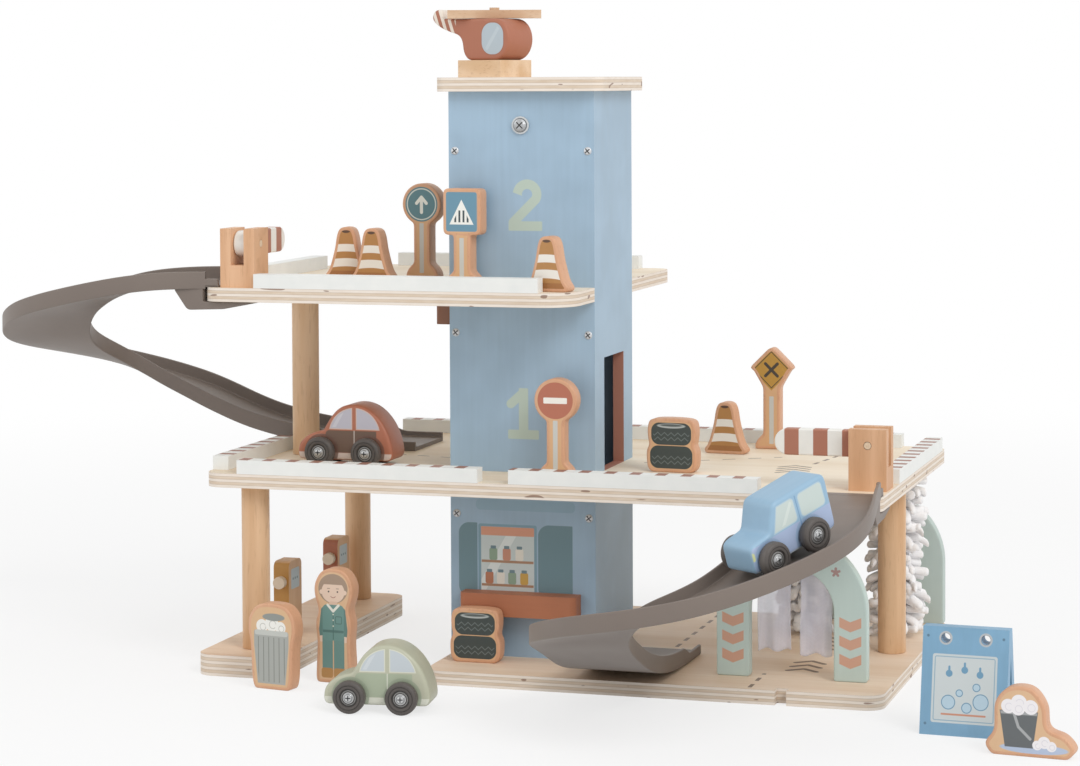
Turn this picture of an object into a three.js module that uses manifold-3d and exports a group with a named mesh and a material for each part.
// A wooden toy parking garage: two decks round a lift tower, two ramps, a car wash and loose toys.
// Millimetres, +Z up. The origin is on the floor, under the middle of the lift tower.
import * as THREE from "three";
import { mergeVertices } from "three/addons/utils/BufferGeometryUtils.js";
import Module from "manifold-3d";

const wasm = await Module();
wasm.setup();

// Boards and storeys
const gap = 0.3;
const boardThickness = 10;
const plankThickness = 15;
const storeyPitch = 132.5;
const roofUnderside = 413.5;
const cornerRadius = 13;
const deckCornerAtTower = 25;
const deckX0 = -219.5;
const deckX1 = 268.5;
const deckY0 = -112;
const deckY1 = 166;
const baseX1 = 269.5;
const plankX0 = -221;
const plankX1 = -156;
const plankY0 = -126;
const plankY1 = 140;
const baseTop = boardThickness;
const deckTop1 = baseTop + storeyPitch;
const deckTop2 = deckTop1 + storeyPitch;

// Lift tower, cabin and winch
const towerHalfX = 54;
const towerHalfY = 50;
const panelThickness = 8;
const roofOverhang = 8;
const doorHalfWidth = 26;
const doorHeight = 81;
const cabinClearance = 1.5;
const cabinWall = 5;
const cabinFloor = 4;
const cabinRoom = 80;
const winchBelowRoof = 24;
const winchHeight = roofUnderside - winchBelowRoof;
const drumRadius = 12;
const drumFlange = 17;
const drumHalfLength = 24;
const axleRadius = 4;
const crankArm = 34;
const crankThickness = 8;
const crankOffset = 8;
const knobRadius = 6;
const knobLength = 24;

// Posts and curbs
const postRadius = 10;
const postLeftX = -187.5;
const postFrontY = -92;
const postBackY = 115;
const postRightX = 249;
const postRightY = 41;
const postUpperY = 7;
const curbWidth = 12;
const curbHeight = 10;
const curbSink = 1;

// Ramps
const rampHalfWidth = 32.5;
const rampWall = 2.5;
const rampWallHeight = 9.5;
const rampRailHeight = 4;
const rampRailRun = 28;
const rampFloor = 3;
const rampLip = 1.5;
const rampLipLength = 12;
const rampLipRail = 4.5;
const rampSplay = THREE.MathUtils.degToRad(7);
const rampRadius = 77.75;
const rampOutRun = 79;
const rampBackRun = 194.5;
const rampEase = 60;
const rampStations = 38;
const rampArc = rampRadius * (Math.PI + rampSplay);
const rampLength = rampOutRun + rampArc + rampBackRun;
const rampEndHeight = rampFloor - storeyPitch;
const rampHeights = [rampLip, -2.8, -20.7, -46.8, -66.6, -90.4, -116.2, -127.7, rampEndHeight];
const clampReach = 36.5;
const upperRampY = deckY0 + rampHalfWidth + 3.25;
const lowerRampX = deckX1 - rampHalfWidth;

// Gates
const gateBlock = 26;
const gateHeight = 42;
const gateSlot = 10;
const gateSlotFloor = 16;
const gatePinHeight = 31;
const gatePinRadius = 2.5;
const boomReach = 66;
const boomRadius = 9;
const boomThickness = gateSlot - 2 * gap;

// Car wash
const archHalfWidth = 52.5;
const archLeg = 23;
const archHeight = 99.5;
const archThickness = 10;
const frontArchX = 199.5;
const backArchX = 215.5;
const frontArchY = -72;
const backArchY = 154;
const brushLeftX = 172;
const brushRightX = 242;
const brushY = 100;
const brushCore = 7;
const brushRadius = 26;
const brushRows = 13;
const brushStrandsPerRow = 12;
const strandRadius = 2.2;

// Shop, pumps and flat toys
const counterHalfWidth = 43;
const counterDepth = 15;
const toyThickness = 12;
const toyClearance = 7;
const heliX = -34;
const heliY = -4;

// Cars
const wheelRadius = 11;
const wheelWidth = 7;
const wheelBase = 35.5;
const carHalfWidth = 14;
const carAxleRadius = 1.5;
const carBelly = 5;
const boxCarBelly = 5.5;

const palette = {
  ply: 0xe3cda8,
  beech: 0xd9a878,
  blue: 0x8fb0c6,
  terracotta: 0xb5643f,
  mustard: 0xb98a3c,
  sage: 0xb3c7bd,
  green: 0xa9b49a,
  sky: 0x7ba6cf,
  taupe: 0x7d7168,
  white: 0xf0eeea,
  tyre: 0x4e4a46,
  steel: 0xb8b8b8,
  rust: 0x9a4c35,
};

const assembly = new THREE.Group();

// Solids: three.js geometry in, three.js geometry out, joined and cut in between
function solidOf(geometry) {
  const loose = geometry.index ? geometry.toNonIndexed() : geometry;
  const bare = new THREE.BufferGeometry();
  bare.setAttribute("position", loose.getAttribute("position"));
  const merged = mergeVertices(bare, 1e-4);
  return new wasm.Manifold(
    new wasm.Mesh({
      numProp: 3,
      vertProperties: merged.attributes.position.array,
      triVerts: new Uint32Array(merged.index.array),
    }),
  );
}

function geometryOf(solid) {
  const mesh = solid.getMesh();
  const points = new Float32Array(mesh.numVert * 3);
  for (let i = 0; i < mesh.numVert; i++) {
    points.set(mesh.vertProperties.subarray(i * mesh.numProp, i * mesh.numProp + 3), i * 3);
  }
  const geometry = new THREE.BufferGeometry();
  geometry.setAttribute("position", new THREE.BufferAttribute(points, 3));
  geometry.setIndex(new THREE.BufferAttribute(new Uint32Array(mesh.triVerts), 1));
  return geometry;
}

function join(...geometries) {
  return geometryOf(geometries.map(solidOf).reduce((all, one) => all.add(one)));
}

function cut(body, ...tools) {
  return geometryOf(tools.map(solidOf).reduce((rest, tool) => rest.subtract(tool), solidOf(body)));
}

// A box between two corners
function block(x0, y0, z0, x1, y1, z1) {
  const box = new THREE.BoxGeometry(x1 - x0, y1 - y0, z1 - z0);
  return box.translate((x0 + x1) / 2, (y0 + y1) / 2, (z0 + z1) / 2);
}

// A cylinder along Z, Y or X
function rod(axis, radius, from, to, segments = 24) {
  const cylinder = new THREE.CylinderGeometry(radius, radius, to - from, segments);
  cylinder.translate(0, (from + to) / 2, 0);
  if (axis === "z") cylinder.rotateX(Math.PI / 2);
  if (axis === "x") cylinder.rotateZ(-Math.PI / 2);
  return cylinder;
}

function roundedRect(x0, y0, x1, y1, radii) {
  const [a, b, c, d] = Array.isArray(radii) ? radii : [radii, radii, radii, radii];
  const shape = new THREE.Shape();
  shape.moveTo(x0 + a, y0);
  shape.lineTo(x1 - b, y0);
  if (b) shape.absarc(x1 - b, y0 + b, b, -Math.PI / 2, 0);
  shape.lineTo(x1, y1 - c);
  if (c) shape.absarc(x1 - c, y1 - c, c, 0, Math.PI / 2);
  shape.lineTo(x0 + d, y1);
  if (d) shape.absarc(x0 + d, y1 - d, d, Math.PI / 2, Math.PI);
  shape.lineTo(x0, y0 + a);
  if (a) shape.absarc(x0 + a, y0 + a, a, Math.PI, 1.5 * Math.PI);
  return shape;
}

function extrude(shape, depth, bevel = 0, curveSegments = 5) {
  const geometry = new THREE.ExtrudeGeometry(shape, {
    depth: depth - 2 * bevel,
    bevelEnabled: bevel > 0,
    bevelThickness: bevel,
    bevelSize: bevel,
    bevelOffset: -bevel,
    bevelSegments: 1,
    curveSegments,
  });
  return geometry.translate(0, 0, bevel);
}

// A plan shape raised from z0 to z1
function slab(shape, z0, z1, bevel) {
  return extrude(shape, z1 - z0, bevel).translate(0, 0, z0);
}

// A front view, drawn in X and Z, between y0 and y1
function upright(shape, y0, y1, bevel, curveSegments) {
  return extrude(shape, y1 - y0, bevel, curveSegments).rotateX(Math.PI / 2).translate(0, y1, 0);
}

// A side view, drawn in Y and Z, between x0 and x1
function sideways(shape, x0, x1, bevel) {
  const geometry = extrude(shape, x1 - x0, bevel);
  return geometry.rotateX(Math.PI / 2).rotateZ(Math.PI / 2).translate(x0, 0, 0);
}

// A turned piece along Y from [radius, y] pairs that start and end on the axis
function turned(profile, segments) {
  return new THREE.LatheGeometry(profile.map(([r, y]) => new THREE.Vector2(r, y)), segments);
}

function add(parent, name, geometry, color, roughness = 0.7, metalness = 0) {
  const material = new THREE.MeshStandardMaterial({ color, roughness, metalness, name });
  const mesh = new THREE.Mesh(geometry, material);
  mesh.name = name;
  parent.add(mesh);
  return mesh;
}

function place(x, y, z, turn = 0) {
  const group = new THREE.Group();
  group.position.set(x, y, z);
  group.rotation.z = turn;
  assembly.add(group);
  return group;
}

// Base boards
const notch = block(196.5, deckY0 - 1, -1, 204.5, deckY0 + 8, boardThickness + 1);
const baseShape = roundedRect(-towerHalfX, deckY0, baseX1, deckY1, cornerRadius);
add(assembly, "base_board_right", cut(slab(baseShape, 0, boardThickness), notch), palette.ply);
const plankShape = roundedRect(plankX0, plankY0, plankX1, plankY1, cornerRadius);
add(assembly, "base_board_left", slab(plankShape, 0, plankThickness), palette.ply);

// Decks, each with its glued-on curbs
function curb(x0, y0, x1, y1, top) {
  return block(x0, y0, top - curbSink, x1, y1, top + curbHeight);
}
const towerWell = (x1, top) =>
  block(-towerHalfX, -towerHalfY, top - boardThickness - 1, x1, towerHalfY, top + 1);
const deckShape1 = roundedRect(deckX0, deckY0, deckX1, deckY1, cornerRadius);
const deck1 = join(
  slab(deckShape1, deckTop1 - boardThickness, deckTop1),
  curb(-193.5, deckY0, -13.5, deckY0 + curbWidth, deckTop1),
  curb(9, deckY0, 185, deckY0 + curbWidth, deckTop1),
  curb(deckX0, -94, deckX0 + curbWidth, 30, deckTop1),
  curb(deckX1 - curbWidth, -39, deckX1, 146, deckTop1),
  curb(-163.5, deckY1 - curbWidth, -10, deckY1, deckTop1),
  curb(10, deckY1 - curbWidth, 236, deckY1, deckTop1),
);
add(assembly, "deck_level_1", cut(deck1, towerWell(towerHalfX, deckTop1)), palette.ply);
const deckRadii2 = [cornerRadius, deckCornerAtTower, cornerRadius, cornerRadius];
const deckShape2 = roundedRect(deckX0, deckY0, towerHalfX, deckY1, deckRadii2);
const deck2 = join(
  slab(deckShape2, deckTop2 - boardThickness, deckTop2),
  curb(-179.5, deckY0, 31, deckY0 + curbWidth, deckTop2),
  curb(deckX0, -30, deckX0 + curbWidth, 105, deckTop2),
  curb(-166.5, deckY1 - curbWidth, 31, deckY1, deckTop2),
);
add(assembly, "deck_level_2", cut(deck2, towerWell(towerHalfX + 1, deckTop2)), palette.ply);

// Lift tower
const shaftHalfX = towerHalfX - panelThickness;
const shaftHalfY = towerHalfY - panelThickness;
const axleHole = (y0, y1) => rod("y", axleRadius + gap, y0 - 1, y1 + 1).translate(0, 0, winchHeight);
for (const [name, y0] of [
  ["tower_front_panel", -towerHalfY],
  ["tower_back_panel", shaftHalfY],
]) {
  const y1 = y0 + panelThickness;
  const panel = block(-towerHalfX, y0, baseTop, towerHalfX, y1, roofUnderside);
  add(assembly, name, cut(panel, axleHole(y0, y1)), palette.blue);
}
function sidePanel(name, x0, doorSills) {
  const x1 = x0 + panelThickness;
  const panel = block(x0, -shaftHalfY, baseTop, x1, shaftHalfY, roofUnderside);
  const doors = doorSills.map((z) => {
    const bottom = z === baseTop ? z - 1 : z;
    return block(x0 - 1, -doorHalfWidth, bottom, x1 + 1, doorHalfWidth, z + doorHeight);
  });
  add(assembly, name, cut(panel, ...doors), palette.blue);
}
sidePanel("tower_left_panel", -towerHalfX, [baseTop, deckTop2]);
sidePanel("tower_right_panel", shaftHalfX, [deckTop1]);
const roofHalfX = towerHalfX + roofOverhang;
const roofHalfY = towerHalfY + roofOverhang;
const roofShape = roundedRect(-roofHalfX, -roofHalfY, roofHalfX, roofHalfY, roofOverhang);
const roofTop = roofUnderside + boardThickness;
add(assembly, "roof_board", slab(roofShape, roofUnderside, roofTop), palette.ply);
const supportShape = roundedRect(-towerHalfX - 14, -40, -towerHalfX, -10, [3, 0, 0, 3]);
const deckUnderside2 = deckTop2 - boardThickness;
const supportBlock = slab(supportShape, deckUnderside2 - 19, deckUnderside2);
add(assembly, "deck_support_block", supportBlock, palette.rust);

// Lift cabin, open towards the doors on both sides
const cabinHalfX = shaftHalfX - cabinClearance;
const cabinHalfY = shaftHalfY - cabinClearance;
const cabinBottom = baseTop + gap;
const cabinCeiling = cabinBottom + cabinFloor + cabinRoom;
const cabinTop = cabinCeiling + cabinWall;
const cabinInner = cabinHalfY - cabinWall;
const cabinShell = cut(
  join(
    block(-cabinHalfX, -cabinHalfY, cabinBottom, cabinHalfX, cabinHalfY, cabinTop),
    block(-5, -3, cabinTop - 1, 5, 3, cabinTop + 8),
  ),
  block(-cabinHalfX - 1, -cabinInner, cabinBottom + cabinFloor, cabinHalfX + 1, cabinInner, cabinCeiling),
  rod("y", 1.5, -4, 4, 12).translate(0, 0, cabinTop + 4),
);
add(assembly, "lift_cabin", cabinShell, palette.beech);

// Winch: a turned drum on its axle, the crank behind the tower and the screw in the front end
const crankY0 = towerHalfY + crankOffset;
const crankY1 = crankY0 + crankThickness;
const screwHole = 1.7;
const winch = place(0, 0, winchHeight);
const drumProfile = [
  [0, -towerHalfY + 14],
  [screwHole, -towerHalfY + 14],
  [screwHole, -towerHalfY],
  [axleRadius, -towerHalfY],
  [axleRadius, -drumHalfLength - 3],
  [drumFlange, -drumHalfLength - 3],
  [drumFlange, -drumHalfLength],
  [drumRadius, -drumHalfLength],
  [drumRadius, drumHalfLength],
  [drumFlange, drumHalfLength],
  [drumFlange, drumHalfLength + 3],
  [axleRadius, drumHalfLength + 3],
  [axleRadius, crankY1 - gap],
  [0, crankY1 - gap],
];
add(winch, "winch_drum", turned(drumProfile, 16), palette.beech);
const screwProfile = [
  [0, -towerHalfY - gap - 3.4],
  [3, -towerHalfY - gap - 3.1],
  [4.6, -towerHalfY - gap - 2.2],
  [4.8, -towerHalfY - gap - 1.2],
  [6.4, -towerHalfY - gap - 1.2],
  [6.4, -towerHalfY - gap],
  [screwHole - gap, -towerHalfY - gap],
  [screwHole - gap, -towerHalfY + 13],
  [0, -towerHalfY + 13],
];
add(winch, "winch_end_screw", turned(screwProfile, 14), palette.steel, 0.35, 1);
const armShape = new THREE.Shape();
armShape.absarc(0, 0, 9, 0, Math.PI);
armShape.absarc(0, -crankArm, 9, Math.PI, 2 * Math.PI);
const crank = cut(
  join(
    upright(armShape, crankY0, crankY1),
    rod("y", knobRadius, crankY1 - 1, crankY1 + knobLength, 20).translate(0, 0, -crankArm),
  ),
  rod("y", axleRadius + gap, crankY0 - 1, crankY1 + 1),
);
add(winch, "crank_handle", crank, palette.terracotta);

// Posts
for (const [name, x, y, bottom, top] of [
  ["post_front_left", postLeftX, postFrontY, plankThickness, deckTop1 - boardThickness],
  ["post_back_left", postLeftX, postBackY, plankThickness, deckTop1 - boardThickness],
  ["post_right", postRightX, postRightY, baseTop, deckTop1 - boardThickness],
  ["post_upper", postLeftX, postUpperY, deckTop1, deckUnderside2],
]) {
  add(assembly, name, rod("z", postRadius, bottom, top).translate(x, y, 0), palette.beech);
}

// Ramps: a channel out from the deck's edge, eased into a half turn and back to the board below
function rampHeading(s) {
  const eased = (u) => (u < 0 ? 0 : u > rampEase ? u - rampEase / 2 : (u * u) / (2 * rampEase));
  const turnStart = rampOutRun - rampEase / 2;
  return (eased(s - turnStart) - eased(s - turnStart - rampArc)) / rampRadius - rampSplay;
}
function rampPoint(s) {
  const steps = 200;
  let x = 0;
  let y = 0;
  for (let i = 0; i < steps; i++) {
    const angle = rampHeading((s * (i + 0.5)) / steps);
    x -= (Math.cos(angle) * s) / steps;
    y += (Math.sin(angle) * s) / steps;
  }
  return { x, y, angle: rampHeading(s) };
}
function rampHeight(s) {
  const last = rampHeights.length - 1;
  const span = rampLength / last;
  const i = Math.min(Math.floor(s / span), last - 1);
  const t = s / span - i;
  const slope = (k) => {
    if (k === 0 || k === last) return 0;
    const before = rampHeights[k] - rampHeights[k - 1];
    const after = rampHeights[k + 1] - rampHeights[k];
    return Math.max((before + after) / 2, 3 * before, 3 * after);
  };
  return (
    rampHeights[i] * (2 * t ** 3 - 3 * t ** 2 + 1) +
    slope(i) * (t ** 3 - 2 * t ** 2 + t) +
    rampHeights[i + 1] * (3 * t ** 2 - 2 * t ** 3) +
    slope(i + 1) * (t ** 3 - t ** 2)
  );
}
function rampWallTop(s) {
  const t = THREE.MathUtils.clamp((s - rampLength + rampRailRun) / 20 + 1, 0, 1);
  return THREE.MathUtils.lerp(rampWallHeight, rampRailHeight, t);
}
function rampChannel() {
  const outer = rampHalfWidth;
  const inner = rampHalfWidth - rampWall;
  const points = [];
  for (let i = 0; i <= rampStations; i++) {
    const s = (rampLength * i) / rampStations;
    const { x, y, angle } = rampPoint(s);
    const floor = rampHeight(s);
    const wall = floor + rampWallTop(s);
    const under = floor - rampFloor;
    const ring = [
      [-outer, under],
      [outer, under],
      [outer, wall],
      [inner, wall],
      [inner, floor],
      [-inner, floor],
      [-inner, wall],
      [-outer, wall],
    ];
    for (const [side, z] of ring) {
      const across = i === 0 ? -gap : x + side * Math.sin(angle);
      points.push(across, y + side * Math.cos(angle), z);
    }
  }
  const index = [];
  for (let i = 0; i < rampStations; i++) {
    for (let k = 0; k < 8; k++) {
      const a = 8 * i + k;
      const b = 8 * i + ((k + 1) % 8);
      index.push(a, b + 8, b, a, a + 8, b + 8);
    }
  }
  const last = 8 * rampStations;
  const cap = [0, 6, 7, 0, 5, 6, 0, 4, 5, 0, 1, 4, 1, 3, 4, 1, 2, 3];
  for (let k = 0; k < cap.length; k += 3) {
    index.push(cap[k], cap[k + 1], cap[k + 2]);
    index.push(last + cap[k], last + cap[k + 2], last + cap[k + 1]);
  }
  const geometry = new THREE.BufferGeometry();
  geometry.setAttribute("position", new THREE.Float32BufferAttribute(points, 3));
  geometry.setIndex(index);
  return geometry;
}
function rampClamp() {
  const under = -boardThickness - gap;
  const shape = new THREE.Shape();
  shape.moveTo(-23, -1.5);
  shape.lineTo(-12.5, under - 6.2);
  shape.lineTo(15.5, under - 5.2);
  shape.lineTo(clampReach, under - 1.2);
  shape.lineTo(clampReach, under);
  shape.lineTo(-gap, under);
  shape.lineTo(-gap, -0.5);
  return upright(shape, -rampHalfWidth, rampHalfWidth);
}
function rampPiece() {
  const rail = rampLip + rampLipRail;
  const inner = rampHalfWidth - rampWall;
  return join(
    rampChannel(),
    rampClamp(),
    block(-1, -rampHalfWidth, 0, rampLipLength, rampHalfWidth, rampLip),
    block(-1, -rampHalfWidth, 0, rampLipLength, -inner, rail),
    block(-1, inner, 0, rampLipLength, rampHalfWidth, rail),
  );
}
const upperRamp = place(deckX0, upperRampY, deckTop2);
add(upperRamp, "ramp_upper", rampPiece(), palette.taupe, 0.5);
const lowerRamp = place(lowerRampX, deckY0, deckTop1, Math.PI / 2);
add(lowerRamp, "ramp_lower", rampPiece(), palette.taupe, 0.5);

// Gates: a slotted block, a pin through it and a boom that lifts
function gate(level, x, y, z, turn) {
  const half = gateBlock / 2;
  const group = place(x, y, z, turn);
  const pinHole = rod("y", gatePinRadius + gap, -half - 1, half + 1, 16).translate(0, 0, gatePinHeight);
  const slot = block(-half - 1, -gateSlot / 2, gateSlotFloor, half + 1, gateSlot / 2, gateHeight + 1);
  const body = block(-half, -half, 0, half, half, gateHeight);
  add(group, `gate_${level}_block`, cut(body, slot, pinHole), palette.beech);
  const shape = new THREE.Shape();
  shape.absarc(0, gatePinHeight, boomRadius, -Math.PI / 2, Math.PI / 2);
  shape.absarc(boomRadius - boomReach, gatePinHeight, boomRadius, Math.PI / 2, 1.5 * Math.PI);
  const boom = upright(shape, -boomThickness / 2, boomThickness / 2, 0.8, 10);
  add(group, `gate_${level}_boom`, cut(boom, pinHole), palette.white, 0.5);
  const pin = rod("y", gatePinRadius, -half, half, 16).translate(0, 0, gatePinHeight);
  add(group, `gate_${level}_pin`, pin, palette.beech);
}
gate("upper", -192.5, -97, deckTop2, -Math.PI / 2);
gate("lower", 254, -68, deckTop1, 0);

// Car wash: two arches, a pair of brush rollers and a split curtain
const archSpring = archHeight - archHalfWidth;
function archShape() {
  const inner = archHalfWidth - archLeg;
  const shape = new THREE.Shape();
  shape.moveTo(inner, 0);
  shape.lineTo(archHalfWidth, 0);
  shape.absarc(0, archSpring, archHalfWidth, 0, Math.PI);
  shape.lineTo(-archHalfWidth, 0);
  shape.lineTo(-inner, 0);
  shape.absarc(0, archSpring, inner, Math.PI, 0, true);
  return shape;
}
for (const [name, x, y] of [
  ["wash_arch_front", frontArchX, frontArchY],
  ["wash_arch_back", backArchX, backArchY],
]) {
  add(place(x, y, baseTop), name, upright(archShape(), 0, archThickness), palette.sage);
}

// One soft strand of a brush: three-sided, thicker towards its tip and drooping a little
function strand(angle, height, reach, droop) {
  const out = new THREE.Vector3(Math.cos(angle), Math.sin(angle), 0);
  const across = new THREE.Vector3(-out.y, out.x, 0);
  const rings = [
    [brushCore - 1.5, 0, 0.75],
    [reach, 1, 1.1],
  ];
  const points = [];
  for (const [radius, fall, size] of rings) {
    for (let k = 0; k < 3; k++) {
      const a = (2 * Math.PI * k) / 3 + Math.PI / 2;
      const p = out.clone().multiplyScalar(radius);
      p.addScaledVector(across, size * strandRadius * Math.cos(a));
      p.z = height - droop * fall + size * strandRadius * Math.sin(a);
      points.push(p.x, p.y, p.z);
    }
  }
  const index = [0, 2, 1, 3, 4, 5];
  for (let k = 0; k < 3; k++) {
    const next = (k + 1) % 3;
    index.push(k, next, next + 3, k, next + 3, k + 3);
  }
  const geometry = new THREE.BufferGeometry();
  geometry.setAttribute("position", new THREE.Float32BufferAttribute(points, 3));
  geometry.setIndex(index);
  return geometry;
}
function brush(name, x) {
  const bottom = baseTop + gap;
  const top = deckTop1 - boardThickness - gap;
  const pitch = (top - bottom - 6) / brushRows;
  const pieces = [rod("z", brushCore, bottom, top, 12)];
  for (let row = 0; row < brushRows; row++) {
    for (let k = 0; k < brushStrandsPerRow; k++) {
      const angle = (2 * Math.PI * (k + 0.5 * (row % 2))) / brushStrandsPerRow;
      const wave = Math.sin(7 * k + 5 * row);
      const reach = brushRadius - 2 + 2 * wave;
      pieces.push(strand(angle, bottom + 4 + pitch * (row + 0.5), reach, 1.6));
    }
  }
  add(place(x, brushY, 0), name, join(...pieces), palette.white, 0.9);
}
brush("wash_brush_left", brushLeftX);
brush("wash_brush_right", brushRightX);

// A strip of curtain in plan, waved across its width, that hangs from z1 to z0
function curtainStrip(x0, x1, z0, z1) {
  const steps = 12;
  const half = 0.5;
  const wave = (t) => 1.6 * Math.sin(2 * Math.PI * 1.5 * t);
  const shape = new THREE.Shape();
  shape.moveTo(x0, wave(0) - half);
  for (let i = 1; i <= steps; i++) {
    shape.lineTo(THREE.MathUtils.lerp(x0, x1, i / steps), wave(i / steps) - half);
  }
  for (let i = steps; i >= 0; i--) {
    shape.lineTo(THREE.MathUtils.lerp(x0, x1, i / steps), wave(i / steps) + half);
  }
  return slab(shape, z0, z1);
}
const curtainTop = archSpring + archHalfWidth - archLeg + 10;
const curtain = join(
  block(-27, -2.4, curtainTop - 9, 27, 2.4, curtainTop),
  curtainStrip(-26, -3, 17, curtainTop - 1),
  curtainStrip(4, 26, 15, curtainTop - 1),
);
const curtainPlace = place(frontArchX, frontArchY + archThickness + 2.4 + gap, baseTop);
add(curtainPlace, "wash_curtain", curtain, palette.white, 0.6);

// Shop counter on the tower's front and the two fuel pumps
const counterRadii = [4, 4, 0, 0];
const counterY0 = -towerHalfY - counterDepth;
const counterShape = roundedRect(-counterHalfWidth, counterY0, counterHalfWidth, -towerHalfY, counterRadii);
add(assembly, "shop_counter", slab(counterShape, 41, 57), palette.terracotta);
function pump(name, x, y, color) {
  const body = sideways(roundedRect(-12.5, 0, 12.5, 53, [0, 0, 5, 5]), -6, 6);
  const peg = rod("y", 4.5, -18, -12, 16).translate(0, 0, 38);
  add(place(x, y, plankThickness), name, join(body, peg), color);
}
pump("pump_yellow", -190, -26, palette.mustard);
pump("pump_red", -194, 84, palette.terracotta);

// Helicopter on the roof
const heli = place(heliX, heliY, roofTop, THREE.MathUtils.degToRad(-19));
const heliBase = 12.5;
const heliTop = heliBase + 30;
add(heli, "helicopter_block", block(-19, -19, 0, 19, 19, heliBase), palette.beech);
const heliShape = new THREE.Shape();
heliShape.moveTo(-12, heliBase);
heliShape.lineTo(14, heliBase);
heliShape.absellipse(11, heliBase + 15, 13, 15, -Math.PI / 2 + 0.25, Math.PI / 2);
heliShape.lineTo(-35.5, heliTop);
heliShape.lineTo(-37.5, heliTop + 7);
heliShape.quadraticCurveTo(-45.5, heliTop + 8, -46, heliTop + 1);
heliShape.quadraticCurveTo(-44, heliBase + 24, -24, heliBase + 19);
heliShape.quadraticCurveTo(-18, heliBase + 17, -18, heliBase + 9);
heliShape.quadraticCurveTo(-17, heliBase + 2, -12, heliBase);
const rotorScrew = 1.5;
const rotorHole = rod("z", rotorScrew + gap, heliTop - 14, heliTop + 1, 12);
add(heli, "helicopter_body", cut(upright(heliShape, -15, 15), rotorHole), palette.terracotta);
const rotorHub = place(heliX, heliY, roofTop + heliTop + gap, THREE.MathUtils.degToRad(17));
const rotor = join(
  block(-34, -6, 0, 34, 6, 6),
  rod("z", 3.6, 5, 7.8, 16),
  rod("z", rotorScrew, -12, 6, 12),
);
add(rotorHub, "helicopter_rotor", rotor, palette.beech);

// Cars: a shaped body and two turned wheelsets
function roundCarShape() {
  const shape = new THREE.Shape();
  shape.moveTo(-33, carBelly);
  shape.lineTo(32, carBelly);
  shape.quadraticCurveTo(36.5, carBelly, 36.5, 10);
  shape.bezierCurveTo(34, 22, 22, 45.5, 7, 45.5);
  shape.bezierCurveTo(-6, 45.5, -10, 38, -17, 26);
  shape.quadraticCurveTo(-31, 24, -35.5, 15.5);
  shape.quadraticCurveTo(-38, carBelly, -33, carBelly);
  return shape;
}
function boxCarShape() {
  const shape = new THREE.Shape();
  shape.moveTo(-28.5, boxCarBelly);
  shape.lineTo(36, boxCarBelly);
  shape.quadraticCurveTo(39.5, boxCarBelly, 39.7, 10);
  shape.lineTo(41, 38);
  shape.quadraticCurveTo(41, 42.5, 36.5, 42.5);
  shape.lineTo(-2, 42.5);
  shape.quadraticCurveTo(-5, 42.5, -6.5, 39.5);
  shape.lineTo(-13.5, 25.5);
  shape.lineTo(-26, 24.5);
  shape.quadraticCurveTo(-31, 24, -31, 20);
  shape.lineTo(-31.5, 9);
  shape.quadraticCurveTo(-31.5, boxCarBelly, -28.5, boxCarBelly);
  return shape;
}
function wheelset() {
  const inner = carHalfWidth + 0.5;
  const outer = inner + wheelWidth;
  const side = [
    [carAxleRadius, inner],
    [wheelRadius - 1.5, inner],
    [wheelRadius, inner + 1.5],
    [wheelRadius, outer - 2],
    [wheelRadius - 2, outer],
    [6, outer],
    [5, outer - 1.2],
    [3.2, outer - 1.2],
    [3.2, outer - 0.2],
    [0, outer + 0.6],
  ];
  const mirrored = side.map(([r, y]) => [r, -y]).reverse();
  return turned([...mirrored, ...side], 16);
}
function car(name, shape, color, group) {
  const holes = [-1, 1].map((end) => {
    const hole = rod("y", carAxleRadius + gap, -carHalfWidth - 1, carHalfWidth + 1, 12);
    return hole.translate((end * wheelBase) / 2, 0, wheelRadius);
  });
  const body = upright(shape, -carHalfWidth, carHalfWidth, 1.5);
  add(group, `${name}_body`, cut(body, ...holes), color, 0.5);
  for (const [end, x] of [
    ["front", -wheelBase / 2],
    ["rear", wheelBase / 2],
  ]) {
    const wheels = add(group, `${name}_wheels_${end}`, wheelset(), palette.tyre, 0.8);
    wheels.position.set(x, 0, wheelRadius);
  }
}
const greenTurn = THREE.MathUtils.degToRad(7.6);
car("green_car", roundCarShape(), palette.green, place(-55, -194, 0, greenTurn));
car("red_car", roundCarShape(), palette.rust, place(-132, -44, deckTop1));

// The blue car stands on the lower ramp, nose down
const blueCarRun = 137;
const blueCarLift = 1.8;
const blueCarSpot = rampPoint(blueCarRun);
const blueCarSlope = Math.atan((rampHeight(blueCarRun - 15) - rampHeight(blueCarRun + 15)) / 30);
const blueCarGroup = place(
  lowerRampX - blueCarSpot.y,
  deckY0 + blueCarSpot.x,
  deckTop1 + rampHeight(blueCarRun) + blueCarLift,
);
blueCarGroup.rotation.set(0, -blueCarSlope, Math.PI / 2 - blueCarSpot.angle, "ZYX");
car("blue_car", boxCarShape(), palette.sky, blueCarGroup);

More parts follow.
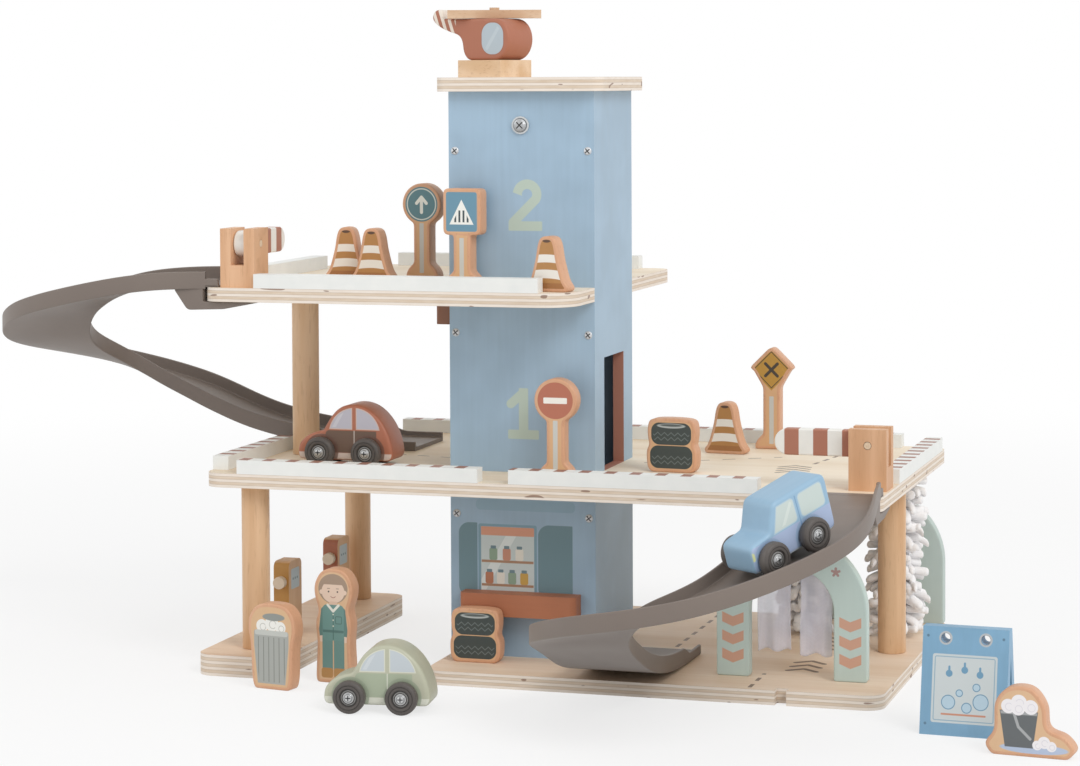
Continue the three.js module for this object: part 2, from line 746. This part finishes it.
// Flat toys: an outline from a flat foot up through its [half width, height] pairs, mirrored
function outline(foot, pairs) {
  const right = pairs.map(([w, z]) => new THREE.Vector2(w, z));
  const left = pairs.map(([w, z]) => new THREE.Vector2(-w, z)).reverse();
  const shape = new THREE.Shape();
  shape.moveTo(-foot, 0);
  shape.lineTo(foot, 0);
  shape.splineThru([...right, ...left, new THREE.Vector2(-foot, 0)]);
  return shape;
}
function flat(shape, curveSegments) {
  return upright(shape, -toyThickness / 2, toyThickness / 2, 0, curveSegments);
}
function flatToy(name, geometry, x, y, z, degrees = 0) {
  add(place(x, y, z, THREE.MathUtils.degToRad(degrees)), name, geometry, palette.beech);
}

const coneOutline = [
  [16.5, 3],
  [13, 8],
  [9, 22],
  [7, 33],
  [4, 38],
];
flatToy("cone_1", flat(outline(15, coneOutline), 3), -150, 0, deckTop2, 4);
flatToy("cone_2", flat(outline(15, coneOutline), 3), -124, -14, deckTop2, -6);
flatToy("cone_3", flat(outline(15, coneOutline), 3), 34, deckY0 + 21, deckTop2, -10);
flatToy("cone_4", flat(outline(15, coneOutline), 3), 116, 92, deckTop1, -6);

const tyreOutline = [
  [18, 4],
  [18.5, 15],
  [16.5, 19.5],
  [17.5, 24],
  [17.5, 33],
  [13, 38],
];
flatToy("tyre_stack_deck", flat(outline(15, tyreOutline), 3), 103, -18, deckTop1, -4);
flatToy("tyre_stack_base", flat(outline(15, tyreOutline), 3), -27, counterY0 - toyClearance, baseTop, 0);

// Signs: a head on a post with a flared foot
function signPost(height) {
  const shape = new THREE.Shape();
  shape.moveTo(-13, 0);
  shape.lineTo(13, 0);
  shape.quadraticCurveTo(13, 7, 6.5, 11);
  shape.lineTo(6.5, height);
  shape.lineTo(-6.5, height);
  shape.lineTo(-6.5, 11);
  shape.quadraticCurveTo(-13, 7, -13, 0);
  return flat(shape);
}
function roundSign() {
  const head = new THREE.Shape();
  head.absarc(0, 55, 15.5, 0, 2 * Math.PI);
  return join(signPost(50), flat(head, 24));
}
function squareSign() {
  return join(signPost(50), flat(roundedRect(-14.5, 37, 14.5, 70, 3)));
}
function diamondSign() {
  const head = flat(roundedRect(-14, -14, 14, 14, 4)).rotateY(Math.PI / 4);
  return join(signPost(50), head.translate(0, 0, 60));
}
flatToy("sign_round_upper", roundSign(), -97, 20, deckTop2, -4);
flatToy("sign_square", squareSign(), -38, -towerHalfY - 12, deckTop2, -6);
flatToy("sign_round_lower", roundSign(), 33, -towerHalfY - 22, deckTop1, 0);
flatToy("sign_diamond", diamondSign(), 143, 128, deckTop1, 0);

// Figure, bin and bucket
const figureOutline = [
  [13.5, 5],
  [12.5, 28],
  [13.5, 42],
  [11.5, 51],
  [14, 60],
  [14.5, 68],
  [11, 76],
  [5, 80],
];
flatToy("figure_mechanic", flat(outline(12.5, figureOutline), 3), -115, -120, 0, -4);
const binOutline = [
  [16, 8],
  [17, 30],
  [19, 42],
  [17, 52],
  [9, 59],
];
flatToy("waste_bin", flat(outline(14, binOutline), 3), -148, -152, 0, -10);
const bucketShape = new THREE.Shape();
bucketShape.moveTo(-24, 0);
bucketShape.lineTo(24, 0);
bucketShape.splineThru(
  [
    [29, 6],
    [22, 14],
    [9, 18],
    [7, 34],
    [-2, 45],
    [-14, 45],
    [-20, 34],
    [-21, 16],
    [-28, 7],
    [-24, 0],
  ].map(([x, z]) => new THREE.Vector2(x, z)),
);
flatToy("wash_bucket", flat(bucketShape, 3), 381, -209, 0, -6);

// A-board: two leaning boards joined at the top, with two eyelets
const boardOutline = new THREE.Shape();
boardOutline.setFromPoints(
  [
    [-17, 0],
    [-9.5, 0],
    [0, 50],
    [9.5, 0],
    [17, 0],
    [4.5, 68],
    [-4.5, 68],
  ].map(([y, z]) => new THREE.Vector2(y, z)),
);
const eyelets = [-13, 13].map((x) => rod("y", 3, -8, 8, 14).translate(x, 0, 61));
const aBoardPlace = place(333, -154, 0, THREE.MathUtils.degToRad(-3));
add(aBoardPlace, "a_board", cut(sideways(boardOutline, -28, 28), ...eyelets), palette.sky);

export default assembly;
